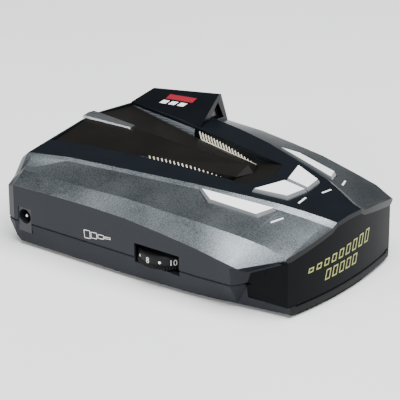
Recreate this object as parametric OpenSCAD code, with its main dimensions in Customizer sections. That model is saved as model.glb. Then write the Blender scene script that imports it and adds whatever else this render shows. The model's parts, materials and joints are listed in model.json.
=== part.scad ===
// Windshield radar detector: a wedge-shaped case with a display at the driver's end (-Y),
// radar horn at the windshield end (+Y), four top buttons, a volume thumbwheel and a power jack.
// Frame: origin at the centre of the base, +Y towards the windshield, +Z up, millimetres.
// "Station" below is the distance back from the foremost point of the display face.

/* [Case] */
// Length from the display face to the windshield end
body_l = 108; // [104:0.5:112]
// Width across the widest part of the case
body_w = 76.6; // [74:0.2:79]
// Height of the parting line between the two shells
parting_h = 8.6; // [8.2:0.1:9]
// Wall thickness of the moulded shells
wall = 2.0; // [1.6:0.1:2.2]
// Radius of the bowed display face, seen from above
front_r = 128; // [110:1:150]
// Drop of the belly pad below the rest of the underside
belly_drop = 1.3; // [1:0.1:1.6]

/* [Top cover] */
// Thickness of the dark top cover
cover_t = 1.8; // [1.5:0.1:2]
// Height of the roof ridge
ridge_h = 32.5; // [32:0.1:33]
// Number of louvre teeth on each side
tooth_n = 19; // [12:1:24]

/* [Buttons] */
// How far a button goes down
button_travel = 0.6; // [0.4:0.1:0.8]
// How far the button tops stand proud of the case
button_proud = 1.1; // [0.8:0.1:1.4]
// Gap between a button and its opening
button_gap = 0.45; // [0.35:0.05:0.5]

/* [Volume wheel] */
// Radius of the thumbwheel
wheel_r = 9.4; // [8.8:0.1:9.6]
// Thickness of the thumbwheel
wheel_t = 4.3; // [4:0.1:4.6]
// Number of grip teeth around its lower edge
grip_n = 64; // [48:2:80]

/* [Power jack] */
// Radius of the jack's opening
jack_r = 2.5; // [2.3:0.05:2.7]
// Radius of its centre pin
jack_pin_r = 0.7; // [0.5:0.05:0.8]
// Depth of the jack's bore
jack_depth = 9; // [8:0.5:10]

/* [Hidden] */

$fn = 64;
eps = 0.05;
kx = body_w / 76.6;
ky = body_l / 108;
foot_z = belly_drop;
groove = 0.35;
// Y of a station
function Y(s) = s * ky - body_l / 2;

// Edges of the case, each as [station, value]
foot_x = [[3.5, 26.2], [21, 29.9], [33.5, 32.5], [56, 34.9], [104, 37.4], [108, 36.6]];
waist_x = [[3.5, 27.2], [17.2, 28.6], [20.3, 33.4], [33.5, 34.8], [60, 36.1], [105, 38.3], [108, 37.3]];
flank_x = [[3.5, 27.2], [17.2, 28.6], [20.3, 34.0], [33.5, 34.9], [60, 36.2], [105, 38.3], [108, 37.3]];
flank_z = [[3.5, 19.2], [17.2, 12.4], [20.3, 14.8], [33.5, 17.4], [46, 18.9], [108, 19.8]];
side_x = [[3.5, 28.5], [17.2, 34.1], [33.5, 35], [60, 36.3], [105, 38.3], [108, 36.8]];
side_z = [[3.5, 20.2], [17.2, 15.6], [33.5, 18.3], [46, 19.8], [60, 21.1], [74, 21.4], [102, 20.9], [108, 20]];
shoulder_x = [[3.5, 28.3], [19, 30.3], [33.5, 32.5], [49, 34.1], [74, 35.8], [102, 35.6], [108, 34]];
shoulder_z = [[3.5, 20.8], [10, 23.2], [19, 24.5], [33.5, 26], [60, 27.3], [74, 27], [90, 26.4], [103, 25.6], [108, 22]];
spine_x = [[0, 5.9], [5, 7.5], [15, 11.4], [25, 14.2], [45, 19.9], [65, 24.4], [90, 28], [105, 30.5], [108, 30]];
spine_z = [[0, 25.3], [5, 26.7], [15, 28.9], [25, 29.8], [45, 31.2], [65, 31.6], [90, 31], [105, 29.6], [108, 27]];
bevel_w = [[0, 2.2], [20, 1.7], [40, 1.1], [108, 0.9]];
bevel_h = [[0, 1.2], [20, 1.1], [108, 0.9]];
crown_z = [[0, 25.8], [5, 27.1], [15, 29.3], [29, 31], [54, 32], [72, 32.3], [86, 33], [105, 33], [108, 30.5]];
rear_lift = [[103, 0], [106.5, 2.2], [108, 5]];
stations = [-3, 3.5, 10, 17.2, 20.3, 26, 33.5, 46, 60, 74, 90, 103, 105, 108];

function at(s, curve) = lookup(s, curve);
function sx(s, curve) = at(s, curve) * kx;

// Both halves of a profile given as right-hand [x, z] points from the bottom up, closed anticlockwise
function both(pts) = concat(pts, [for (i = [len(pts) - 1 : -1 : 0]) if (pts[i][0] > 0) [-pts[i][0], pts[i][1]]]);
function lift(pts, s) = [for (p = pts) [p[0], Y(s), p[1]]];

// Solid through a list of closed sections that all have the same number of points
module skin(sections) {
  n = len(sections[0]);
  m = len(sections);
  points = [for (s = sections) each s];
  sides = [for (i = [0 : m - 2]) for (j = [0 : n - 1])
    let (k = (j + 1) % n)
    each [[i * n + j, i * n + k, (i + 1) * n + k], [i * n + j, (i + 1) * n + k, (i + 1) * n + j]]];
  first = [[for (j = [n - 1 : -1 : 0]) j]];
  last = [[for (j = [0 : n - 1]) (m - 1) * n + j]];
  polyhedron(points, concat(sides, first, last));
}

function bevel_out(s) = [(at(s, spine_x) + at(s, bevel_w)) * kx, at(s, spine_z) - at(s, bevel_h)];
function upper_section(s) = both([
  [sx(s, waist_x) - groove, parting_h],
  [sx(s, waist_x), parting_h + groove],
  [sx(s, flank_x), at(s, flank_z)],
  [sx(s, side_x), at(s, side_z)],
  [sx(s, shoulder_x), at(s, shoulder_z)],
  bevel_out(s),
  [sx(s, spine_x), at(s, spine_z)],
  [sx(s, spine_x), at(s, spine_z) - cover_t],
  [0, at(s, crown_z) - cover_t]]);
function top_section(s) = both([
  [0, at(s, crown_z) - cover_t - 1],
  [sx(s, spine_x), at(s, spine_z) - cover_t - 1],
  [sx(s, spine_x), at(s, spine_z)],
  [0, at(s, crown_z)]]);
function solid_section(s) = both([
  [sx(s, waist_x), parting_h],
  [sx(s, flank_x), at(s, flank_z)],
  [sx(s, side_x), at(s, side_z)],
  [sx(s, shoulder_x), at(s, shoulder_z)],
  bevel_out(s),
  [sx(s, spine_x), at(s, spine_z)],
  [0, at(s, crown_z)]]);
function lower_section(s) = both([
  [sx(s, foot_x), foot_z + at(s, rear_lift)],
  [sx(s, waist_x), parting_h - groove],
  [sx(s, waist_x) - groove, parting_h]]);
function cavity_shoulder(s) = min(at(s, side_z) - 0.2, at(s, shoulder_z) - wall - 0.6);
function upper_cavity(s) = both([
  [sx(s, waist_x) - wall, parting_h - 1],
  [sx(s, flank_x) - wall - 0.1, min(at(s, flank_z) - 0.8, cavity_shoulder(s) - 0.8)],
  [min(sx(s, side_x), sx(s, flank_x) + 2) - wall - 0.1, cavity_shoulder(s)],
  [sx(s, shoulder_x) - wall - 0.6, at(s, shoulder_z) - wall],
  [sx(s, spine_x), at(s, spine_z) - cover_t - wall],
  [0, at(s, crown_z) - cover_t - 1.4]]);
function lower_cavity(s) = both([
  [sx(s, foot_x) - wall, foot_z + wall + at(s, rear_lift)],
  [sx(s, waist_x) - wall, parting_h + 1]]);
function run(first, last) = concat([first], [for (s = stations) if (s > first && s < last) s], [last]);

module bow(inset = 0) {
  translate([0, Y(0) + front_r, -1]) cylinder(r = front_r - inset, h = 60, $fn = 180);
}

// Height of the case's upper surface at half-width x of a station
function top_z(x, s) = lookup(abs(x) / kx, [
  [0, at(s, crown_z)],
  [at(s, spine_x), at(s, spine_z)],
  [at(s, spine_x) + at(s, bevel_w), at(s, spine_z) - at(s, bevel_h)],
  [at(s, shoulder_x), at(s, shoulder_z)],
  [at(s, side_x), at(s, side_z)]]);

// The children and their mirror image on the other side
module sides2() { children(); mirror([1, 0, 0]) children(); }

/* ---------- outer solids shared by the shells ---------- */
module whole_case() { intersection() { skin([for (s = run(-3, 108)) lift(solid_section(s), s)]); bow(); } }

// Display lens: bowed front sheet and the two wings that wrap the corners
lens_t = 2.2;
lens_low = 3.8;
// Outline of the lens seen from the front, for a half-width and the height of its upper corners
function lens_outline(half, corner) = both([
  [half - 0.5, lens_low], [half, corner], [8.6, 22.9], [6.3, 24.2], [0, 24.6]]);
wing_side = [[-2, lens_low], [14.1, 4.1], [14.9, 7.9], [13.5, 12.4], [0, 19.2], [-2, 19.2]];
wing_turn = 5.7;
module lens_front_block(half = 27.2, corner = 19) {
  translate([0, Y(16), 0]) rotate([90, 0, 0]) linear_extrude(20)
    polygon([for (p = lens_outline(half, corner)) [p[0] * kx, p[1]]]);
}
module wing(thick, out) {
  translate([27.2 * kx, Y(2.9), 0]) rotate([0, 0, -wing_turn]) translate([-thick, 0, 0])
    rotate([90, 0, 90]) linear_extrude(thick + out) polygon(wing_side);
}
module lens_void() {
  difference() { lens_front_block(29, 18.623); bow(lens_t + 0.3); }
  sides2() wing(1.8, 6);
}
module display_lens() color("#2a2b2e") {
  intersection() {
    union() {
      intersection() {
        difference() { lens_front_block(); bow(lens_t + 0.3); }
        bow(0.3);
      }
      sides2() intersection() { wing(1.8, 0); bow(0.3); }
    }
    bow(0.3);
  }
}

/* ---------- openings in the walls ---------- */
window = [39, 56.2, 7.0, 13.6];
wheel_s = 49.7;
wheel_x = -(sx(wheel_s, waist_x) + 1.5 - wheel_r);
wheel_z = 7.4;
// Inner face of the side wall where the wheel passes it, and how far behind the window that goes
relief_x = -34.9;
relief_back = 2.4;
// Window in the side, with a flat relief inside the wall that keeps it clear of the wheel
module wheel_window() {
  translate([-50, Y(window[0]), window[2]]) cube([19, (window[1] - window[0]) * ky, window[3] - window[2]]);
  translate([relief_x, Y(window[0]), wheel_z - 0.7])
    cube([12, (window[1] - window[0]) * ky + relief_back, wheel_t + 1.4]);
}
jack_s = 100.5;
jack_z = 10.8;
jack_drop = 1.2;
jack_face = -sx(jack_s, waist_x) + 0.1;
jack_plate = [5.4, 8.4];
module jack_notch() {
  translate([-50, Y(jack_s) - jack_plate[0] / 2, jack_z - jack_drop - jack_plate[1] / 2])
    cube([50 + jack_face + 6, jack_plate[0], jack_plate[1]]);
}
slot_w = 22;
slot_h = 3;
slot_z = 9.6;
screw_at = [[27.8, 31], [30, 86]];
post_r = 3.2;
module at_screws() for (p = screw_at) for (side = [-1, 1]) translate([side * p[0] * kx, Y(p[1]), 0]) children();

/* ---------- lower shell ---------- */
pad_half = 11;
module belly_pad() {
  intersection() {
    translate([0, Y(97), 0]) rotate([90, 0, 0]) linear_extrude(99 * ky)
      polygon([[-pad_half + 1.6, 0], [pad_half - 1.6, 0], [pad_half, foot_z + eps], [pad_half, 2.4], [-pad_half, 2.4], [-pad_half, foot_z + eps]]);
    bow(0.9);
  }
}
plate_size = [17, 34];
module plate_recess(d) { translate([-plate_size[0] / 2, Y(52), -1]) cube([plate_size[0], plate_size[1], 1 + d]); }
module lower_shell() color("#4a4f57") {
  difference() {
    union() {
      intersection() { skin([for (s = run(-3, 108)) lift(lower_section(s), s)]); bow(); }
      belly_pad();
    }
    difference() {
      skin([for (s = run(-6, 105)) lift(lower_cavity(s), s)]);
      at_screws() cylinder(r = post_r, h = 20);
    }
    lens_void();
    wheel_window();
    jack_notch();
    translate([-slot_w / 2 - 2, Y(92), slot_z - 3]) cube([slot_w + 4, 20, 6]);
    at_screws() {
      translate([0, 0, -1]) cylinder(r = 1.35, h = 20);
      translate([0, 0, -1]) cylinder(r = 2.5, h = 6);
    }
    plate_recess(0.35);
  }
}
module rating_plate() color("#b9bdc0") {
  translate([-plate_size[0] / 2 + 0.2, Y(52) + 0.2, 0.1]) cube([plate_size[0] - 0.4, plate_size[1] - 0.4, 0.25]);
}

/* ---------- upper shell ---------- */
// Plan of the recess in the roof, right half from the driver's end, as [x, station]
recess_half = [[0, 29.1], [9.7, 33.1], [14.7, 72], [20.2, 104]];
recess_plan = concat([for (p = recess_half) p], [for (i = [3 : -1 : 1]) [-recess_half[i][0], recess_half[i][1]]]);
module plan_prism(plan, low, high) {
  translate([0, 0, low]) linear_extrude(high - low) polygon([for (p = plan) [p[0] * kx, Y(p[1])]]);
}
outer_plan = [[20.7, 42], [23.4, 36.8], [20.6, 19.8], [14.8, 17.2]];
centre_plan = [[0.3, 24.6], [12, 28.5], [8.4, 17.4], [0.3, 16.1]];
function middle(plan) = [for (k = [0, 1]) (plan[0][k] + plan[1][k] + plan[2][k] + plan[3][k]) / 4];
function grown(plan, g) = let (c = middle(plan)) [for (p = plan) let (d = p - c) c + d * (1 + g / norm(d))];
stem_r = 1.6;
module stem_hole(plan) { translate([middle(plan)[0] * kx, Y(middle(plan)[1]), 10]) cylinder(r = stem_r + 0.5, h = 40); }
speaker_s = 52;
module upper_shell() color("#6f757a") {
  difference() {
    intersection() { skin([for (s = run(-3, 108)) lift(upper_section(s), s)]); bow(); }
    // The cavity leaves the screw posts standing
    difference() {
      skin([for (s = run(-6, 105)) lift(upper_cavity(s), s)]);
      at_screws() cylinder(r = post_r, h = 40);
    }
    lens_void();
    wheel_window();
    jack_notch();
    plan_prism(recess_plan, 20, 40);
    sides2() {
      plan_prism(grown(outer_plan, button_gap), 20, 40);
      stem_hole(centre_plan);
    }
    translate([-slot_w / 2 - 2, Y(92), slot_z - 3]) cube([slot_w + 4, 20, 6]);
    at_screws() translate([0, 0, parting_h - 1]) cylinder(r = 1.3, h = 11);
    cable_port();
  }
}

/* ---------- dark top cover ---------- */
// The cover is what lies between its own outer surface and the tray in the upper shell
module top_cover() color("#1f252a") {
  difference() {
    intersection() { skin([for (s = run(-3, 108)) lift(top_section(s), s)]); bow(); }
    skin([for (s = run(-3, 108)) lift(upper_section(s), s)]);
    lens_void();
    plan_prism(recess_plan, 20, 40);
    sides2() plan_prism(grown(centre_plan, button_gap), 20, 40);
    cable_port();
  }
}

/* ---------- roof panel, louvres, bands and crest ---------- */
floor_z = 28.5;
module roof_panel() color("#262522") {
  plan_prism(recess_plan, floor_z - 1.2, floor_z);
  roof_block();
  roof_plateau();
  front_ramp();
}
module point_set(list) { for (p = list) translate([p[0] * kx, Y(p[1]), p[2]]) cube(0.01, center = true); }
module roof_block() {
  hull() sides2() point_set([[0, 37.2, floor_z], [5.8, 39.6, floor_z], [11.3, 70, floor_z], [0, 37.2, 30],
    [5.8, 39.6, 30], [11.3, 70, 30.2], [0, 39.2, ridge_h - 0.1], [0, 70, ridge_h]]);
}
module roof_plateau() {
  hull() sides2() point_set([[11.3, 70, floor_z], [20.1, 103.9, floor_z], [11.3, 70, 30.2], [20.1, 103.9, 30.1],
    [0, 70, ridge_h], [0, 86.3, ridge_h + 0.5], [0, 103.9, ridge_h + 0.5]]);
}
module front_ramp() {
  hull() sides2() point_set([[0, 29.2, floor_z], [9.6, 33.2, floor_z], [10.2, 38, floor_z], [0, 29.2, 30.8],
    [9.6, 33.2, 30.6], [6.5, 39.4, 29.6], [6.5, 39.4, floor_z], [0, 37, 29.8], [10.2, 38, 29.6]]);
}
module texture_band() {
  hull() point_set([[11.5, 70.4, floor_z + 0.1], [14.5, 72.3, floor_z + 0.1], [20, 103.4, floor_z + 0.1],
    [11.5, 70.4, 30.5], [14.5, 72.3, 31.4], [20, 103.4, 30.4]]);
}
module left_texture_band() color("#4c5053") { difference() { mirror([1, 0, 0]) texture_band(); roof_plateau(); } }
module right_texture_band() color("#4c5053") { difference() { texture_band(); roof_plateau(); } }

louvre_from = [12.9, 68.5];
louvre_to = [7.4, 42];
tooth_lean = 19;
// Tooth height falls off towards the driver's end
function tooth_h(t) = 2.7 * (1 - pow(t, 2.2)) + 0.5;
module louvre() {
  run_x = (louvre_to[0] - louvre_from[0]) * kx;
  run_y = (louvre_to[1] - louvre_from[1]) * ky;
  turn = atan2(run_x, -run_y);
  translate([louvre_from[0] * kx, Y(louvre_from[1]), floor_z]) rotate([0, 0, turn])
    translate([-0.6, -norm([run_x, run_y]), 0]) cube([1.2, norm([run_x, run_y]), 0.5]);
  for (k = [0 : tooth_n - 1]) {
    t = k / (tooth_n - 1);
    h = tooth_h(t);
    translate([louvre_from[0] * kx + run_x * (0.02 + 0.96 * t), Y(louvre_from[1]) + run_y * (0.02 + 0.96 * t), floor_z + 0.3])
      rotate([-tooth_lean, 0, 0]) translate([-0.175, -0.15, 0]) cube([0.35, 0.3, h]);
  }
}
module left_louvre() color("#e4e0d0") mirror([1, 0, 0]) louvre();
module right_louvre() color("#e4e0d0") louvre();
crest_top = 33.5;
module crest_trim() color("#c8ccce") {
  difference() {
    hull() sides2() point_set([[1.5, 86.6, ridge_h], [3, 106, ridge_h], [0, 86.6, crest_top], [0, 106, crest_top],
      [1.2, 86.8, crest_top - 0.2], [2.6, 105.8, crest_top - 0.2]]);
    roof_plateau();
    skin([for (s = run(80, 108)) lift(top_section(s), s)]);
  }
}

/* ---------- laser housing on the driver's right ---------- */
hump_base = [[15.5, 71], [36.3, 75.7], [34.6, 105.5], [20.4, 104.6]];
hump_low = 24;
hump_points = [[15.5, 71, 31.8], [36.3, 75.7, 27], [31, 75.1, 37.9], [32.6, 75.6, 37.3],
  [34.6, 105.5, 26], [20.4, 104.6, 31.2], [29.4, 102.2, 34], [31, 102.6, 33.4], [24, 106.6, 30], [33, 106.6, 25.6]];
module hump_solid() {
  hull() {
    point_set(hump_points);
    point_set([for (p = hump_base) [p[0], p[1], hump_low]]);
  }
}
// Triangular opening in the face towards the driver, as [along the face, height]
hump_turn = atan2(4.7 * ky, 20.8 * kx);
driver_window = [[6.6, 31.3], [18.4, 28.9], [14.7, 35.5]];
module driver_opening(depth, from) {
  translate([15.5 * kx, Y(71), 0]) rotate([0, 0, hump_turn]) translate([0, depth, 0])
    rotate([90, 0, 0]) linear_extrude(depth - from) polygon(driver_window);
}
module windshield_opening() { translate([25.2 * kx, Y(101.5), 30.4]) cube([5.6, 12, 2.6]); }
module hump_hollow() {
  hull() {
    point_set([[19, 74, 30], [34, 77.5, 27], [31, 77.5, 35.4], [32.5, 103, 26], [22.5, 102.5, 30], [29.4, 101, 32]]);
    point_set([[19, 74, hump_low - 1], [34, 77.5, hump_low - 1], [32.5, 103, hump_low - 1], [22.5, 102.5, hump_low - 1]]);
  }
}
// Opening in the roof under the housing, where the sensors' cable comes up
module cable_port() { plan_prism([[24, 84], [28, 84], [28, 90], [24, 90]], 20, 40); }
module laser_housing() color("#10151a") {
  difference() {
    hump_solid();
    whole_case();
    hump_hollow();
    driver_opening(6, -6);
    windshield_opening();
  }
}
module rear_laser_lens() color("#2b1416") {
  difference() {
    intersection() { driver_opening(2.6, 1.6); hump_solid(); }
    whole_case();
  }
}
module front_laser_lens() color("#2b1416") {
  difference() {
    intersection() { windshield_opening(); hump_solid(); }
    hump_hollow();
    whole_case();
  }
}

/* ---------- top buttons and their switches ---------- */
board_z = 14.2;
board_t = 1.6;
switch_h = 3.0;
plunger_h = 1.0;
cap_skirt = 0.9;
switch_top = board_z + board_t + switch_h;
function cap_ring(plan, g, rise) = [for (p = grown(plan, g)) [p[0], p[1], top_z(p[0], p[1]) + rise]];
module cap(plan, side) {
  rings = [
    [for (p = plan) [p[0], p[1], top_z(p[0], p[1]) - cap_skirt]],
    [for (p = plan) [p[0], p[1], top_z(p[0], p[1]) + 0.15]],
    cap_ring(plan, -0.75, button_proud)];
  hull() {
    for (ring = rings) for (p = ring) translate([side * p[0] * kx, Y(p[1]), p[2]]) cube(0.02, center = true);
  }
}
module button(plan, side) {
  c = middle(plan);
  cap(plan, side);
  translate([side * c[0] * kx, Y(c[1]), switch_top + plunger_h])
    cylinder(r = stem_r, h = top_z(c[0], c[1]) - 0.4 - switch_top - plunger_h);
}
module plunger(plan, side) {
  c = middle(plan);
  translate([side * c[0] * kx, Y(c[1]), switch_top - 1.4]) cylinder(r = 1.1, h = plunger_h + 1.4);
}
module tact_switch(plan, side) {
  c = middle(plan);
  translate([side * c[0] * kx, Y(c[1]), board_z + board_t]) difference() {
    translate([-3, -3, 0]) cube([6, 6, switch_h]);
    translate([0, 0, 0.9]) cylinder(r = 1.15, h = switch_h);
  }
}
module left_outer_button() color("#d9dcde") button(outer_plan, -1);
module right_outer_button() color("#d9dcde") button(outer_plan, 1);
module left_centre_button() color("#d9dcde") button(centre_plan, -1);
module right_centre_button() color("#d9dcde") button(centre_plan, 1);
module left_outer_plunger() color("#333333") plunger(outer_plan, -1);
module right_outer_plunger() color("#333333") plunger(outer_plan, 1);
module left_centre_plunger() color("#333333") plunger(centre_plan, -1);
module right_centre_plunger() color("#333333") plunger(centre_plan, 1);
module tact_switches() color("#9a9da0") for (plan = [outer_plan, centre_plan]) for (side = [-1, 1]) tact_switch(plan, side);

/* ---------- volume wheel ---------- */
grip_h = 1.4;
pot_post_r = 1.5;
module volume_wheel() color("#151515") {
  translate([wheel_x, Y(wheel_s), wheel_z]) difference() {
    union() {
      linear_extrude(grip_h) polygon([for (k = [0 : 2 * grip_n - 1])
        (wheel_r - (k % 2) * 0.45) * [cos(180 * k / grip_n), sin(180 * k / grip_n)]]);
      translate([0, 0, grip_h]) cylinder(r = wheel_r - 0.35, h = wheel_t - grip_h - 0.5, $fn = 96);
      translate([0, 0, wheel_t - 0.5]) cylinder(r1 = wheel_r - 0.35, r2 = wheel_r - 0.8, h = 0.5, $fn = 96);
    }
    translate([0, 0, -1]) cylinder(r = pot_post_r + 0.05, h = wheel_t + 2);
    translate([0, 0, -1]) cylinder(r = 4.2, h = 2);
  }
}
module volume_pot() color("#7d8084") {
  translate([wheel_x, Y(wheel_s), 0]) {
    translate([-4, -5.5, wheel_z + wheel_t + 0.35]) cube([9, 11, board_z - wheel_z - wheel_t - 0.35]);
    translate([0, 0, wheel_z - 0.3]) cylinder(r = pot_post_r, h = wheel_t + 1);
  }
}
module wheel_retainer() color("#c0c2c4") {
  translate([wheel_x, Y(wheel_s), wheel_z - 0.7]) cylinder(r = 3.6, h = 0.4);
  translate([wheel_x, Y(wheel_s), wheel_z - 0.3]) difference() {
    cylinder(r = 2.6, h = 0.2);
    translate([0, 0, -1]) cylinder(r = pot_post_r, h = 3);
  }
}

/* ---------- power jack ---------- */
jack_l = 12.5;
module jack_housing() color("#2c2f33") {
  translate([jack_face, Y(jack_s), 0]) difference() {
    union() {
      translate([0, -jack_plate[0] / 2, jack_z - jack_drop - jack_plate[1] / 2]) cube([3, jack_plate[0], jack_plate[1]]);
      translate([3, -3.9, 6.4]) cube([jack_l - 3, 7.8, board_z - 6.4]);
    }
    translate([-1, 0, jack_z]) rotate([0, 90, 0]) cylinder(r = jack_r, h = jack_depth + 1);
  }
}
module jack_pin() color("#d8d8d4") {
  translate([jack_face + 1.2, Y(jack_s), jack_z]) rotate([0, 90, 0]) {
    cylinder(r = jack_pin_r, h = jack_depth - 1.2);
    sphere(r = jack_pin_r);
  }
}

/* ---------- electronics ---------- */
module circuit_board() color("#1f5a38") {
  difference() {
    plan_prism([[22, 13], [28, 26], [30.8, 50], [32.4, 98], [-32.4, 98], [-30.8, 50], [-28, 26], [-22, 13]],
      board_z, board_z + board_t);
    at_screws() translate([0, 0, board_z - 1]) cylinder(r = post_r + 0.4, h = 4);
  }
}
module display_module() color("#1c4a33") {
  translate([-24, Y(7.2), 5.2]) cube([48, 1.6, 14.4]);
  translate([-24, Y(8.8), 13]) cube([48, Y(13) - Y(8.8), 1.2]);
}
module display_glass() color("#0c1414") translate([-21, Y(4.8), 6.2]) cube([42, Y(7.2) - Y(4.8), 12.4]);
module horn_antenna() color("#b4b6b8") {
  difference() {
    union() {
      hull() {
        translate([-15, Y(102) - 1, board_z + board_t]) cube([30, 1, 11]);
        translate([-7, Y(82), board_z + board_t]) cube([14, 1, 7]);
      }
      translate([-7, Y(76), board_z + board_t]) cube([14, Y(82) - Y(76), 7]);
    }
    hull() {
      translate([-13.6, Y(102) - 0.5, board_z + board_t + 1.4]) cube([27.2, 1, 8.2]);
      translate([-5.6, Y(82), board_z + board_t + 1.4]) cube([11.2, 1, 4.2]);
    }
  }
}
module microwave_shield() color("#c4c6c8") {
  translate([-14, Y(60), board_z + board_t]) cube([28, Y(76) - Y(60), 3.6]);
}
module laser_sensors() color("#3a1418") {
  translate([27.9, Y(79.6), 31.6]) cube([2.6, 1.4, 1.6]);
  translate([27, Y(97.4), 30.7]) cube([2.2, 1.2, 0.9]);
}
speaker_z = 22;
module speaker_frame() color("#55585b") {
  translate([0, Y(speaker_s), speaker_z]) difference() {
    union() {
      cylinder(r = 13, h = 4.2);
      translate([0, 0, -2.4]) cylinder(r = 7, h = 2.5);
    }
    translate([0, 0, 1]) cylinder(r = 12, h = 6);
  }
}
module speaker_cone() color("#1a1a1a") {
  translate([0, Y(speaker_s), speaker_z + 1]) cylinder(r1 = 5, r2 = 12, h = 2.6);
}
module acoustic_cloth() color("#d9d4c2") translate([0, Y(speaker_s), speaker_z + 4.2]) cylinder(r = 13, h = 0.5);
module chips() color("#17181a") {
  for (c = [[-6, 40, 12, 12], [12, 44, 7, 7], [-20, 62, 6, 9], [18, 60, 5, 8]])
    translate([c[0], Y(c[1]), board_z + board_t]) cube([c[2], c[3], 1.4]);
}
module capacitors() color("#30383f") {
  for (c = [[22, 74, 2.5], [26, 66, 2], [-25, 74, 3], [-24, 84, 2]])
    translate([c[0], Y(c[1]), board_z + board_t]) cylinder(r = c[2], h = 6.5);
}

/* ---------- bracket socket and fasteners ---------- */
module bracket_socket() color("#2b2e31") {
  translate([-slot_w / 2 - 2, Y(92), slot_z - 3]) difference() {
    cube([slot_w + 4, Y(107.4) - Y(92), 6]);
    translate([2, 4, 1.5]) cube([slot_w, 20, slot_h]);
  }
}
module case_screws() color("#8a8c8e") {
  at_screws() {
    difference() {
      translate([0, 0, 3.4]) cylinder(r = 2.3, h = 1.6);
      translate([-1.5, -0.25, 3]) cube([3, 0.5, 1.2]);
      translate([-0.25, -1.5, 3]) cube([0.5, 3, 1.2]);
    }
    translate([0, 0, 5]) cylinder(r = 1.25, h = 11.5);
  }
}

lower_shell();
upper_shell();
top_cover();
roof_panel();
left_louvre();
right_louvre();
left_texture_band();
right_texture_band();
crest_trim();
display_lens();
laser_housing();
rear_laser_lens();
front_laser_lens();
left_outer_button();
right_outer_button();
left_centre_button();
right_centre_button();
left_outer_plunger();
right_outer_plunger();
left_centre_plunger();
right_centre_plunger();
tact_switches();
volume_wheel();
volume_pot();
wheel_retainer();
jack_housing();
jack_pin();
circuit_board();
display_module();
display_glass();
horn_antenna();
microwave_shield();
laser_sensors();
speaker_frame();
speaker_cone();
acoustic_cloth();
chips();
capacitors();
bracket_socket();
case_screws();
rating_plate();
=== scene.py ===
import bpy
import bmesh
import json
import math
import numpy as np
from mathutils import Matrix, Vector
from mathutils.bvhtree import BVHTree


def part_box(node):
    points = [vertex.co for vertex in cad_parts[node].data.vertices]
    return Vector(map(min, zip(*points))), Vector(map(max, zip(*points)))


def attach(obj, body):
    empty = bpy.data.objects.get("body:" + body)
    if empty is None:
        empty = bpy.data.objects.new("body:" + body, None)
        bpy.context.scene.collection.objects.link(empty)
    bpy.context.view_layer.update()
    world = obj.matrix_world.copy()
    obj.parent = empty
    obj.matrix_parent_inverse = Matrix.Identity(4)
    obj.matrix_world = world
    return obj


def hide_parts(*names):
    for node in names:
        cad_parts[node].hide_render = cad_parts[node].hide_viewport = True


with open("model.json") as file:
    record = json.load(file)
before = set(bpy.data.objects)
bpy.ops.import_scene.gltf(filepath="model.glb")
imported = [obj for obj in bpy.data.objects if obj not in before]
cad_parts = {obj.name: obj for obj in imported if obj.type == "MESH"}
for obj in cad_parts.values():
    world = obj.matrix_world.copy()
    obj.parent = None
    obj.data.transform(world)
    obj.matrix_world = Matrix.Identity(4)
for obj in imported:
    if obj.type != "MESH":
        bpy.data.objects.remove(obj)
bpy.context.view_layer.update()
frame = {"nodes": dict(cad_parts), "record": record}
nodes = frame["nodes"]

# ---------- camera ----------
# Seen from the driver's front left and from above, through a long lens at arm's length. The aim is the
# middle of the case, and the shifts move the frame without turning the view.
MM = 0.001
azimuth = math.radians(-51.9)
elevation = math.radians(24.4)
aim = Vector((0, -4 * MM, 16.3 * MM))
distance = 700 * MM
back = Vector((
    math.sin(azimuth) * math.cos(elevation),
    -math.cos(azimuth) * math.cos(elevation),
    math.sin(elevation)))
camera = bpy.data.objects.new("camera", bpy.data.cameras.new("camera"))
camera.data.sensor_width = 36
camera.data.lens = 196.6
camera.data.shift_x = -0.053
camera.data.shift_y = 0.006
camera.data.clip_start = 0.01
camera.location = aim + back * distance
camera.rotation_euler = back.to_track_quat("Z", "Y").to_euler()
bpy.context.collection.objects.link(camera)
bpy.context.scene.camera = camera


# ---------- table top and lights ----------
# A pale matt table under soft boxes: a broad one overhead, a low one on the left that the shoulders
# mirror, and a small one behind for the bevels beside the spine.
def linear(hex_colour):
    """sRGB hex to linear RGBA: c/12.92 below 0.04045, else ((c+0.055)/1.055)^2.4."""
    c = np.array([int(hex_colour[i:i + 2], 16) for i in (1, 3, 5)]) / 255
    return (*np.where(c <= 0.04045, c / 12.92, ((c + 0.055) / 1.055) ** 2.4), 1.0)


def add(tree, kind, inputs=None, **settings):
    """Adds one node. A value in inputs is set on the socket, and a socket in inputs is linked to it."""
    made = tree.nodes.new(kind)
    for key, value in settings.items():
        setattr(made, key, value)
    for key, value in (inputs or {}).items():
        if isinstance(value, bpy.types.NodeSocket):
            tree.links.new(value, made.inputs[key])
        else:
            made.inputs[key].default_value = value
    return made


def blank(name):
    """An empty material and its node tree."""
    material = bpy.data.materials.new(name)
    material.use_nodes = True
    material.node_tree.nodes.clear()
    return material, material.node_tree


def noise(tree, place, grain, detail=2):
    """Cloudy noise from 0 to 1 at place, with clouds about grain metres across."""
    made = add(tree, "ShaderNodeTexNoise", {"Vector": place, "Scale": 1 / grain, "Detail": detail})
    return made.outputs["Fac"]


def shades(tree, along, first, last, start=0.0, end=1.0):
    """Colour that goes evenly from first to last as along goes from start to end."""
    ramp = add(tree, "ShaderNodeValToRGB", {"Fac": along})
    for stop, position, shade in zip(ramp.color_ramp.elements, (start, end), (first, last)):
        stop.position = position
        stop.color = linear(shade)
    return ramp.outputs["Color"]


def surface(tree, inputs):
    """Makes the one surface of a material, with inputs set on its sockets or linked to them."""
    shader = add(tree, "ShaderNodeBsdfPrincipled", inputs)
    add(tree, "ShaderNodeOutputMaterial", {"Surface": shader.outputs["BSDF"]})


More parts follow.
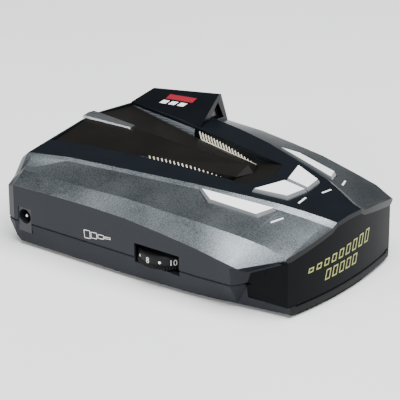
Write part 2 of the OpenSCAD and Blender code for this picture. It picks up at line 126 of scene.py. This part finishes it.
def sheet_mesh(name, points):
    """A mesh from a grid of points, rows by columns, with one quad between each four neighbours."""
    rows, columns = points.shape[:2]
    index = np.arange(rows * columns).reshape(rows, columns)
    quads = np.stack([index[:-1, :-1], index[:-1, 1:], index[1:, 1:], index[1:, :-1]], -1).reshape(-1, 4)
    mesh = bpy.data.meshes.new(name)
    mesh.from_pydata(points.reshape(-1, 3).tolist(), [], quads.tolist())
    return mesh


table_half = 3.0
mottle_size = 1 / 12
side = np.linspace(-table_half, table_half, 9)
u, v = np.meshgrid(side, side)
table = bpy.data.objects.new("table", sheet_mesh("table", np.stack([u, v, np.zeros_like(u)], -1)))
bpy.context.collection.objects.link(table)
table_paint, tree = blank("matt_white_laminate")
mottle = noise(tree, add(tree, "ShaderNodeTexCoord").outputs["Object"], mottle_size, 3)
surface(tree, {"Base Color": shades(tree, mottle, "#e9eaeb", "#f1f1f1"), "Roughness": 0.75})
table.data.materials.append(table_paint)


def soft_box(name, place, size, watts, toward=(0, 0, 0.015)):
    """A rectangular soft box at place, in metres, that faces toward."""
    lamp = bpy.data.lights.new(name, "AREA")
    lamp.shape = "RECTANGLE"
    lamp.size, lamp.size_y = size
    lamp.energy = watts
    box = bpy.data.objects.new(name, lamp)
    box.location = place
    box.rotation_euler = (Vector(place) - Vector(toward)).to_track_quat("Z", "Y").to_euler()
    bpy.context.collection.objects.link(box)


soft_box("key_left", (-0.88, 0.20, 0.40), (0.32, 0.24), 5)
soft_box("bevel_light", (-0.30, 0.45, 0.82), (0.20, 0.20), 1.5)
soft_box("overhead", (-0.05, -0.35, 1.00), (1.0, 1.0), 32)
world = bpy.data.worlds.new("studio")
world.use_nodes = True
world.node_tree.nodes["Background"].inputs["Color"].default_value = linear("#eef1f4")
world.node_tree.nodes["Background"].inputs["Strength"].default_value = 0.15
bpy.context.scene.world = world


# ---------- lower shell ----------
# Injection-moulded ABS tray in slate grey paint. The two shells meet at a
# shadow groove and are held by screws from below.
home = {node: body for body, members in frame["record"]["behaviour"]["bodies"].items() for node in members}


def paint(thing, material):
    """Gives every material slot of an object the material."""
    if not thing.data.materials:
        thing.data.materials.append(material)
    for place in thing.material_slots:
        place.material = material


def softened(node, width, crease=25, smooth=True):
    """The CAD piece's own surface with its corners merged, and each edge that turns by more than
    crease degrees rounded to width millimetres, as an injection mould leaves it. Faces folded back on
    a flat neighbour are merged with it. With smooth, normals weighted by area keep the facets flat;
    without it, each face is shaded on its own."""
    weld, folded_back, flat_turn = 2e-6, -0.999, math.radians(0.5)
    mesh = nodes[node].data.copy()
    mesh.name = node + "_moulding"
    work = bmesh.new()
    work.from_mesh(mesh)
    bmesh.ops.remove_doubles(work, verts=work.verts, dist=weld)
    folded = [edge for edge in work.edges if len(edge.link_faces) == 2
              and edge.link_faces[0].normal.dot(edge.link_faces[1].normal) < folded_back]
    bmesh.ops.dissolve_edges(work, edges=folded, use_verts=False)
    bmesh.ops.dissolve_limit(work, angle_limit=flat_turn, verts=work.verts, edges=work.edges)
    work.to_mesh(mesh)
    work.free()
    piece = bpy.data.objects.new(node + "_moulding", mesh)
    bpy.context.collection.objects.link(piece)
    mesh.polygons.foreach_set("use_smooth", np.full(len(mesh.polygons), smooth))
    rounding = piece.modifiers.new("rounding", "BEVEL")
    rounding.width = width * MM
    rounding.segments = 3
    rounding.limit_method = "ANGLE"
    rounding.angle_limit = math.radians(crease)
    if smooth:
        flatness = piece.modifiers.new("flatness", "WEIGHTED_NORMAL")
        flatness.weight = 80
    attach(piece, home[node])
    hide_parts(node)
    return piece


def true_face(tree):
    """The X, Y and Z of the face's own normal, before any smoothing."""
    normal = add(tree, "ShaderNodeNewGeometry").outputs["True Normal"]
    return add(tree, "ShaderNodeSeparateXYZ", {0: normal}).outputs


def combine(tree, operation, first, second):
    """One value from two. A test gives one where it holds and nought elsewhere."""
    return add(tree, "ShaderNodeMath", {0: first, 1: second}, operation=operation).outputs[0]


def on_front(tree, place):
    """One on faces that look towards the driver (-Y) and lie past front_edge, nought elsewhere. It marks
    where painted shade goes.
    """
    towards_driver, front_edge = -0.7, -46 * MM
    ahead = combine(tree, "LESS_THAN", true_face(tree)["Y"], towards_driver)
    reach = add(tree, "ShaderNodeSeparateXYZ", {0: place}).outputs["Y"]
    near = combine(tree, "LESS_THAN", reach, front_edge)
    return combine(tree, "MULTIPLY", ahead, near)


def blended(tree, share, under, over):
    """The colour over laid on the colour under by share."""
    return add(tree, "ShaderNodeMix", {0: share, 6: under, 7: over}, data_type="RGBA").outputs[2]


def gloss(tree, along, low, high):
    """Roughness that goes from low to high as along goes from 0 to 1."""
    return add(tree, "ShaderNodeMapRange", {"Value": along, 3: low, 4: high}).outputs["Result"]


def relief(tree, height, strength, depth):
    """The normal of bumps that follow height and are depth metres deep."""
    bump = add(tree, "ShaderNodeBump", {"Height": height, "Strength": strength, "Distance": depth})
    return bump.outputs["Normal"]


def painted_abs(name, light, dark, roughness, metallic, grain, depth, front=None, specular=0.5):
    """Sprayed paint on moulded ABS. Pigment drifts slowly from light to dark, and grain is the size of
    its flakes in millimetres, drawn no finer than shows. front is painted shade: a near-black colour
    laid on the faces at the driver's end, where shadow falls. specular is the level of the shine."""
    drift_size, flake_share, gloss_spread = 18 * MM, 0.45, 0.07
    material, tree = blank(name)
    place = add(tree, "ShaderNodeTexCoord").outputs["Object"]
    drift = noise(tree, place, drift_size)
    flake = noise(tree, place, grain * MM)
    blend = add(tree, "ShaderNodeMix", {0: flake_share, 2: drift, 3: flake})
    tone = shades(tree, blend.outputs[0], dark, light, 0.32, 0.68)
    # Painted shade: faces at the driver's end take the near-black front colour.
    if front:
        tone = blended(tree, on_front(tree, place), tone, linear(front))
    surface(tree, {
        "Base Color": tone,
        "Roughness": gloss(tree, flake, roughness - gloss_spread, roughness + gloss_spread),
        "Metallic": metallic,
        "IOR": 1.5,
        "Specular IOR Level": specular,
        "Normal": relief(tree, flake, 0.35, depth * MM)})
    return material


# The near-black front colour is painted shade on the faces at the driver's end, where shadow falls.
slate_paint = painted_abs(
    "slate_paint_and_front_shade_on_abs", "#202329", "#181b20", 0.55, 0.0, 0.25, 0.008, front="#050608", specular=0.2)
lower = softened("lower_shell", 0.25)
paint(lower, slate_paint)


# ---------- upper shell ----------
# One ABS moulding in two paints: slate on the upright side band, and silver with a visible
# metal flake on the sloping shoulders. A dark masked line parts them along the crease.
def two_tone_paint():
    """Paint chosen by how far the true face leans up: below side_lean slate, above shoulder_lean silver,
    between them the dark line that the rounded crease carries. Painted shade darkens the driver's end."""
    side_lean, shoulder_lean = 0.06, 0.15
    flake_size, drift_size, flake_share = 0.40 * MM, 15 * MM, 0.6
    material, tree = blank("two_tone_paint_and_front_shade_on_abs")
    place = add(tree, "ShaderNodeTexCoord").outputs["Object"]
    lean = true_face(tree)["Z"]
    flake = noise(tree, place, flake_size)
    drift = noise(tree, place, drift_size)
    blend = add(tree, "ShaderNodeMix", {0: flake_share, 2: drift, 3: flake})
    silver = shades(tree, blend.outputs[0], "#4a5054", "#7b8184", 0.35, 0.65)
    slate = shades(tree, drift, "#181b21", "#1f2229")
    on_shoulder = combine(tree, "GREATER_THAN", lean, shoulder_lean)
    above_side = combine(tree, "GREATER_THAN", lean, side_lean)
    line = combine(tree, "SUBTRACT", above_side, on_shoulder)
    tone = blended(tree, on_shoulder, slate, silver)
    tone = blended(tree, line, tone, linear("#16181d"))
    # Painted shade: the faces at the driver's end are darkened near black.
    tone = blended(tree, on_front(tree, place), tone, linear("#08090b"))
    surface(tree, {
        "Base Color": tone,
        "Roughness": gloss(tree, flake, 0.24, 0.36),
        "Metallic": combine(tree, "MULTIPLY", on_shoulder, 0.85),
        "IOR": 1.5,
        "Specular IOR Level": 0.2,
        "Normal": relief(tree, flake, 0.3, 0.012 * MM)})
    return material


upper = softened("upper_shell", 0.3, crease=14)
paint(upper, two_tone_paint())


# ---------- top cover ----------
# The blue-black spine that runs over the case and down its windshield edge: a separate
# semi-gloss ABS moulding, polished in the mould.
def dark_plastic(name, light, dark, roughness, grain, depth, coat=0.0, specular=0.14):
    """Moulded plastic in its own colour, with a faint cloud in the colour and spark-eroded grain,
    in millimetres. coat is the strength of the clear lacquer, specular the level of the bare shine."""
    cloud_size, gloss_spread = 9 * MM, 0.06
    material, tree = blank(name)
    place = add(tree, "ShaderNodeTexCoord").outputs["Object"]
    cloud = noise(tree, place, cloud_size, 3)
    pits = add(tree, "ShaderNodeTexVoronoi", {"Vector": place, "Scale": 1 / (grain * MM)})
    surface(tree, {
        "Base Color": shades(tree, cloud, dark, light),
        "Roughness": gloss(tree, cloud, roughness - gloss_spread, roughness + gloss_spread),
        "IOR": 1.45,
        "Specular IOR Level": specular,
        "Coat Weight": coat,
        "Coat Roughness": 0.12,
        "Normal": relief(tree, pits.outputs["Distance"], 0.3, depth * MM)})
    return material


spine = softened("top_cover", 0.25)
paint(spine, dark_plastic("semi_gloss_blue_black_abs", "#11161b", "#0b0f13", 0.34, 0.4, 0.006))

# ---------- roof panel ----------
# A warm black ABS insert sunk into the spine, with a raised ridge down its middle. Its mould is
# etched to a satin grain.
roof = softened("roof_panel", 0.15, crease=9)
paint(roof, dark_plastic("satin_black_abs", "#161513", "#0d0c0b", 0.40, 0.35, 0.01))

# ---------- louvres ----------
# Slanted ivory teeth on both sides of the ridge, in front of the speaker. Each row is moulded as
# one ABS comb and pushed into the roof.
ivory = painted_abs("satin_ivory_abs", "#f0ecdc", "#d8d2bd", 0.45, 0.0, 0.5, 0.01)
for node in ("left_louvre", "right_louvre"):
    comb = softened(node, 0.1, crease=40)
    paint(comb, ivory)


# ---------- textured bands ----------
# Grey strips beside the roof plateau, embossed with close rows of round dimples like a wire gauze.
# Each is a thin moulding laid in its own recess.
def gauze():
    """Dimples from round cells one pitch apart. The hollows are painted dark as painted shade,
    and the threads between them light.
    """
    pitch = 0.9 * MM
    material, tree = blank("embossed_grey_gauze_and_hollow_shade")
    place = add(tree, "ShaderNodeTexCoord").outputs["Object"]
    cells = add(tree, "ShaderNodeTexVoronoi", {"Vector": place, "Scale": 1 / pitch, "Randomness": 0.0})
    hollow = cells.outputs["Distance"]
    # Painted shade: the colour darkens into each hollow, following the same depth as the bumps.
    surface(tree, {
        "Base Color": shades(tree, hollow, "#15171a", "#484c4f", 0.25, 0.50),
        "Roughness": 0.7,
        "Specular IOR Level": 0.1,
        "Normal": relief(tree, hollow, 0.9, 0.15 * MM)})
    return material


gauze_relief = gauze()
for node in ("left_texture_band", "right_texture_band"):
    band = softened(node, 0.1)
    paint(band, gauze_relief)


# ---------- crest trim ----------
# A plated ABS arrowhead along the rear of the ridge, glued down. It has a satin chrome finish
# with faint polishing lines.
def plated(name, light, dark, roughness, stretch):
    """Bright metal plate. Fine lines come from noise stretched along Y by stretch."""
    line_size = 1 / 3
    material, tree = blank(name)
    place = add(tree, "ShaderNodeTexCoord").outputs["Object"]
    along = add(tree, "ShaderNodeMapping", {"Vector": place, "Scale": (1 / MM, 1 / (stretch * MM), 1 / MM)})
    lines = noise(tree, along.outputs["Vector"], line_size, 3)
    surface(tree, {
        "Base Color": shades(tree, lines, dark, light),
        "Roughness": gloss(tree, lines, roughness - 0.05, roughness + 0.08),
        "Metallic": 1.0,
        "Normal": relief(tree, lines, 0.2, 0.01 * MM)})
    return material


crest = softened("crest_trim", 0.15)
paint(crest, plated("satin_chrome_plate", "#e2e5e7", "#b4b8bb", 0.28, 12))

# ---------- display lens ----------
# Smoked acrylic, bowed across the driver's end and wrapped round both corners. Its wings
# are backed with the same tint, so that the display shows only when it is lit.
lens = softened("display_lens", 0.3)
paint(lens, dark_plastic("smoked_acrylic", "#0e0f12", "#090a0c", 0.30, 1.0, 0.001, specular=0.05))


# ---------- display glow ----------
# What the vacuum-fluorescent display shows through the lens: a row of rising bars over a row of
# blocks, in yellow-green. The rows lie on the bow of the lens.
bow_radius = 127.7
bow_centre_y = 74.0
glow_lift = 0.06


def on_bow(across, up):
    """The point of the lens front at across and up: a circle of bow_radius seen from above."""
    radius = bow_radius + glow_lift
    return np.stack([across, bow_centre_y - np.sqrt(radius ** 2 - across ** 2), up], -1) * MM


def outline_bars(left, low, width, height, slant, line):
    """Hollow slanted bars as quads: two uprights and two rungs of thickness line for each bar."""
    right, head = left + width, low + height
    boxes = np.stack([
        np.stack([left, left + line, low, head], -1),
        np.stack([right - line, right, low, head], -1),
        np.stack([left, right, low, low + line], -1),
        np.stack([left, right, head - line, head], -1)], 1).reshape(-1, 4)
    x = boxes[:, [0, 1, 1, 0]]
    z = boxes[:, [2, 2, 3, 3]]
    base = np.repeat(low, 4)[:, None]
    return x + (z - base) * slant, z


def flat_quads(name, corners):
    """A mesh of separate quads from an array of four corners each."""
    mesh = bpy.data.meshes.new(name)
    faces = np.arange(corners.shape[0] * 4).reshape(-1, 4)
    mesh.from_pydata(corners.reshape(-1, 3).tolist(), [], faces.tolist())
    piece = bpy.data.objects.new(name, mesh)
    bpy.context.collection.objects.link(piece)
    return piece


# Uprights and rungs are line_width thick, and the bars lean by slant for each millimetre of height.
line_width, slant = 0.42, 0.25
bar = np.arange(9)
bar_left, bar_height = -19.0 + 3.5 * bar, 1.6 + 0.34 * bar
top_x, top_z = outline_bars(bar_left, np.full(9, 12.9), np.full(9, 2.2), bar_height, slant, line_width)
block_left = -11.5 + 3.4 * np.arange(5)
low_x, low_z = outline_bars(
    block_left, np.full(5, 8.0), np.full(5, 2.3), np.full(5, 3.4), slant, line_width)
glow = flat_quads("display_glow", on_bow(np.concatenate([top_x, low_x]), np.concatenate([top_z, low_z])))
phosphor, tree = blank("yellow_green_phosphor")
place = add(tree, "ShaderNodeTexCoord").outputs["Object"]
dots = add(tree, "ShaderNodeTexVoronoi", {"Vector": place, "Scale": 1 / (0.45 * MM), "Randomness": 0.0})
surface(tree, {
    "Base Color": linear("#3a3d20"),
    "Emission Color": shades(tree, dots.outputs["Distance"], "#d6dc7c", "#8f963c"),
    "Emission Strength": 1.1,
    "Roughness": 0.3})
paint(glow, phosphor)
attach(glow, home["display_lens"])

# ---------- laser housing ----------
# A raised black ABS hood over the laser sensors, glued to the roof. Its face towards the driver
# has a triangular opening, and a flat window looks out through the windshield.
hood = softened("laser_housing", 0.3, crease=9, smooth=False)
paint(hood, dark_plastic("semi_gloss_black_abs", "#0c1014", "#07090c", 0.36, 0.4, 0.006))
infrared = dark_plastic("infrared_acrylic", "#140e10", "#0c0809", 0.20, 0.5, 0.003, coat=0.2)
for node in ("rear_laser_lens", "front_laser_lens"):
    pane = softened(node, 0.1)
    paint(pane, infrared)


# ---------- printed marks ----------
# Pad-printed ink: a red bar over three slanted strokes on the hood, a volume wedge on the left
# side, and a short dash by each button.
def ink(name, hex_light, hex_dark):
    """Opaque pad-printing ink with the slight mottle of its thin film."""
    film_size = 0.6 * MM
    material, tree = blank(name)
    film = noise(tree, add(tree, "ShaderNodeTexCoord").outputs["Object"], film_size)
    surface(tree, {"Base Color": shades(tree, film, hex_dark, hex_light), "Roughness": 0.5})
    return material


def facet(node, near, facing):
    """Point in millimetres and unit normal where a line through near, coming in against facing, first
    meets the surface of the node. The line starts clear of the case."""
    clear = 20 * MM
    outward = Vector(facing).normalized()
    mesh = nodes[node].data
    skin = BVHTree.FromPolygons([v.co for v in mesh.vertices], [p.vertices for p in mesh.polygons])
    point, normal, _, _ = skin.ray_cast(Vector(near) * MM + outward * clear, -outward)
    return np.array(point) / MM, np.array(normal)


def printed(name, node, near, facing, across, quads, material):
    """Quads drawn flat in millimetres, laid on the facet of a node at near: across runs along the first
    coordinate, and the ink stands ink_lift off the surface."""
    ink_lift = 0.04
    point, normal = facet(node, near, facing)
    origin = point + normal * ink_lift
    right = np.array(across) - normal * (np.array(across) @ normal)
    right /= np.linalg.norm(right)
    up = np.cross(normal, right)
    piece = flat_quads(name, (origin + quads[..., :1] * right + quads[..., 1:] * up) * MM)
    paint(piece, material)
    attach(piece, home[node])
    return piece


white_ink = ink("white_pad_print", "#f4f4f2", "#dcdcda")
red_ink = ink("red_pad_print", "#8c0f26", "#74091c")
hood_slope = (-0.38, 0.07, 0.92)
hood_across = (0.07, -1, 0)
red_bar = np.array([[[-5.6, -1.2], [5.6, -1.2], [6.0, 1.2], [-5.2, 1.2]]])
printed("hood_bar", "laser_housing", (25.9, 33.5, 34.8), hood_slope, hood_across, red_bar, red_ink)
stroke_step = 3.7 * np.arange(3)[:, None]
stroke = np.array([[0, 0], [2.6, 0], [3.4, 1.7], [0.8, 1.7]]) - (5.2, 0.9)
strokes = np.stack([stroke[:, 0] + stroke_step, stroke[:, 1] + 0 * stroke_step], -1)
printed("hood_strokes", "laser_housing", (23.3, 34.8, 33.7), hood_slope, hood_across, strokes, white_ink)

# The wedge of four growing frames that stands for volume, on the left side behind the wheel.
frame_left = np.array([0.0, 2.75, 5.5, 8.2])
frame_height = np.array([2.9, 2.2, 1.5, 0.8])
wedge_x, wedge_z = outline_bars(frame_left, -frame_height / 2, np.full(4, 2.5), frame_height, 0, 0.22)
wedge = np.stack([wedge_x - 5.4, wedge_z], -1)
wedge_place, wedge_across = (-35.8, 16.7, 11.9), (-0.05, -1, 0.10)
printed("volume_wedge", "upper_shell", wedge_place, (-1, 0.05, 0), wedge_across, wedge, white_ink)

# One dash by each button: the piece it is printed on, its place, and the ways it faces and runs.
dash = np.array([[[-2.2, -0.3], [2.2, -0.3], [2.2, 0.3], [-2.2, 0.3]]])
for name, node, near, facing, across in (
        ("left_button_dash", "upper_shell", (-17.6, -39.4, 26.8), (-0.2, -0.2, 1), (0.9, -0.35, 0)),
        ("left_centre_dash", "top_cover", (-5.2, -39.7, 28.8), (0, -0.2, 1), (1, 0.1, 0)),
        ("right_centre_dash", "top_cover", (5.6, -41.2, 28.6), (0, -0.2, 1), (1, -0.1, 0)),
        ("right_button_dash", "upper_shell", (17.6, -39.4, 26.8), (0.2, -0.2, 1), (0.9, 0.35, 0))):
    printed(name, node, near, facing, across, dash, white_ink)


# ---------- buttons ----------
# ABS caps under satin silver lacquer. Each is moulded in one piece with a stem that presses a
# switch on the board.
def lacquer():
    """Satin silver lacquer with a pale flake on the crown. The sloping skirt, each face that leans up by
    less than crown_lean, is painted grey as painted shade."""
    flake_size, crown_lean = 0.3 * MM, 0.8
    material, tree = blank("satin_silver_lacquer_and_skirt_shade")
    flake = noise(tree, add(tree, "ShaderNodeTexCoord").outputs["Object"], flake_size)
    crown = shades(tree, flake, "#f2f3f4", "#ffffff")
    shaded_skirt = combine(tree, "LESS_THAN", true_face(tree)["Z"], crown_lean)
    # Painted shade: the skirt faces are coloured grey.
    surface(tree, {
        "Base Color": blended(tree, shaded_skirt, crown, linear("#6f7376")),
        "Roughness": gloss(tree, flake, 0.28, 0.40)})
    return material


button_lacquer = lacquer()
for node in ("left_outer_button", "right_outer_button", "left_centre_button", "right_centre_button"):
    key = softened(node, 0.25, crease=20)
    paint(key, button_lacquer)

# ---------- volume wheel ----------
# Black acetal thumbwheel, moulded with a fine grip round its lower rim. White numbers from 0 to 10
# are printed round its upper band, with a dot between each two.
acetal = dark_plastic("black_acetal", "#1f2021", "#101011", 0.40, 0.5, 0.004)
paint(nodes["volume_wheel"], acetal)
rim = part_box("volume_wheel")
wheel_radius = (rim[1].x - rim[0].x) / 2 / MM
wheel_centre = np.array([(rim[0].x + rim[1].x) / 2, (rim[0].y + rim[1].y) / 2]) / MM
grip_height = 1.4
band_inset = 0.35
ink_film = 0.05
band_radius = wheel_radius - band_inset + ink_film
band_low = rim[0].z / MM + grip_height
digit_height = 2.0

# The values stand value_step degrees apart, and at rest the window shows value_at_rest, turned
# rest_offset degrees past its middle.
value_step = 27
value_at_rest = 8
rest_offset = 3


def on_band(angle, along, up):
    """A point of the printed band: angle in degrees back from the middle of the window, then along
    towards -Y, both taken round the circle, at up millimetres over the grip."""
    turn, height = np.broadcast_arrays(np.radians(angle) - along / band_radius, band_low + up)
    x = wheel_centre[0] - band_radius * np.cos(turn)
    y = wheel_centre[1] + band_radius * np.sin(turn)
    return np.stack([x, y, height], -1) * MM


def number(value, angle):
    """The mesh of a number as flat type, wrapped round the band and centred at angle. The type is set
    type_scale times larger than its digits are high."""
    type_scale = 1.38
    type_face = bpy.data.curves.new("type", "FONT")
    type_face.body = str(value)
    type_face.size = digit_height * type_scale
    type_face.align_x = "CENTER"
    lettering = bpy.data.objects.new("type", type_face)
    mesh = bpy.data.meshes.new_from_object(lettering)
    flat = np.empty(len(mesh.vertices) * 3)
    mesh.vertices.foreach_get("co", flat)
    flat = flat.reshape(-1, 3)
    mesh.vertices.foreach_set("co", on_band(angle, flat[:, 0], flat[:, 1]).ravel())
    mesh.name = "wheel_number_" + str(value)
    piece = bpy.data.objects.new(mesh.name, mesh)
    bpy.context.collection.objects.link(piece)
    bpy.data.objects.remove(lettering)
    return piece


def band_dots(angles, radius, corner_count=16):
    """Round dots as faces of corner_count sides, one at each angle of the band."""
    side = np.linspace(0, 2 * math.pi, corner_count, endpoint=False)
    corners = on_band(angles[:, None], radius * np.cos(side), radius * np.sin(side) + digit_height / 2)
    mesh = bpy.data.meshes.new("wheel_dots")
    faces = np.arange(corners.shape[0] * corner_count).reshape(-1, corner_count)
    mesh.from_pydata(corners.reshape(-1, 3).tolist(), [], faces.tolist())
    piece = bpy.data.objects.new("wheel_dots", mesh)
    bpy.context.collection.objects.link(piece)
    return piece


def angle_of(value):
    """Degrees from the middle of the window back to the value's mark."""
    return rest_offset + (value_at_rest - value) * value_step


marks = [number(value, angle_of(value)) for value in (0, 2, 4, 6, 8, 10)]
marks.append(band_dots(angle_of(np.array([1, 3, 5, 7, 9])), 0.45))
for mark in marks:
    paint(mark, white_ink)
    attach(mark, home["volume_wheel"])

# ---------- power jack ----------
# A slate nylon socket with a nickel-plated pin. It is soldered to the board and lies flush with
# the side of the case.
paint(nodes["jack_housing"], painted_abs("slate_nylon", "#202329", "#181b20", 0.5, 0.0, 0.3, 0.01))
nickel = plated("nickel_plate", "#f0efe9", "#cfcdc6", 0.2, 4)
paint(nodes["jack_pin"], nickel)

# ---------- underside ----------
# A blank brushed foil label in a recess of the belly, zinc-plated screws that come up through the
# lower shell, and the nylon slot that the windshield bracket slides into.
paint(nodes["rating_plate"], plated("brushed_foil", "#c5c9cc", "#9da1a5", 0.35, 20))
zinc = plated("zinc_plate", "#a9acae", "#7f8285", 0.3, 2)
paint(nodes["case_screws"], zinc)
paint(nodes["bracket_socket"], dark_plastic("black_nylon", "#26292c", "#18191b", 0.5, 0.4, 0.01))

# ---------- board and switches ----------
# Glass-epoxy board in green solder mask over woven cloth, with tact switches in tinned
# steel shells and black plungers.
def solder_mask():
    """Green lacquer over woven glass cloth: two crossed waves, each a radian on for every thread. The
    wave texture itself turns wave_rate radians a unit."""
    thread, wave_rate = 0.5 * MM, 20
    scale = 1 / (thread * wave_rate)
    material, tree = blank("green_solder_mask")
    place = add(tree, "ShaderNodeTexCoord").outputs["Object"]
    warp = add(tree, "ShaderNodeTexWave", {"Vector": place, "Scale": scale}, bands_direction="X")
    weft = add(tree, "ShaderNodeTexWave", {"Vector": place, "Scale": scale}, bands_direction="Y")
    cloth = combine(tree, "MULTIPLY", warp.outputs["Fac"], weft.outputs["Fac"])
    surface(tree, {
        "Base Color": shades(tree, cloth, "#123f26", "#1d5c39"),
        "Roughness": 0.3,
        "Coat Weight": 0.4})
    return material


mask = solder_mask()
for node in ("circuit_board", "display_module"):
    paint(nodes[node], mask)
paint(nodes["tact_switches"], plated("tinned_steel", "#c6c9cb", "#9ea2a5", 0.32, 3))
plunger_nylon = dark_plastic("plunger_nylon", "#2b2c2d", "#1b1c1d", 0.5, 0.4, 0.005)
for node in ("left_outer_plunger", "right_outer_plunger", "left_centre_plunger", "right_centre_plunger"):
    paint(nodes[node], plunger_nylon)
epoxy = dark_plastic("filled_epoxy", "#1c1c1e", "#111113", 0.55, 0.3, 0.01)
paint(nodes["chips"], epoxy)
paint(nodes["laser_sensors"], epoxy)
paint(nodes["capacitors"], dark_plastic("shrink_sleeve", "#26323f", "#18222d", 0.35, 0.5, 0.004))

# ---------- display glass ----------
# The clear tube of the fluorescent display, sealed over its dark grey phosphor plate and soldered
# to the display board.
tube_glass = dark_plastic("display_tube_glass", "#17201f", "#0c1212", 0.12, 1.0, 0.001, coat=0.8)
paint(nodes["display_glass"], tube_glass)

# ---------- volume control ----------
# A potentiometer in a pressed and zinc-plated steel can, with a nickel-plated washer on its post
# under the wheel.
paint(nodes["volume_pot"], zinc)
paint(nodes["wheel_retainer"], nickel)

# ---------- antenna and shield ----------
# The die-cast aluminium horn that looks out of the windshield end, and the tinned can that is
# soldered over the microwave circuit.
paint(nodes["horn_antenna"], painted_abs("cast_aluminium", "#b9bbbd", "#94979a", 0.5, 1.0, 0.5, 0.03))
paint(nodes["microwave_shield"], plated("tinned_can", "#c9cccd", "#a2a5a8", 0.3, 6))

# ---------- speaker ----------
# A pressed steel frame under enamel, a doped paper cone, and a woven ivory cloth glued over it.
# It sounds through the louvres.
paint(nodes["speaker_frame"], painted_abs("enamelled_steel", "#4a4d50", "#393c3f", 0.45, 0.6, 0.4, 0.01))
paint(nodes["speaker_cone"], dark_plastic("doped_paper", "#252525", "#141414", 0.7, 0.3, 0.03))
paint(nodes["acoustic_cloth"], painted_abs("woven_ivory_cloth", "#e6dfca", "#bfb79e", 0.8, 0.0, 0.35, 0.05))
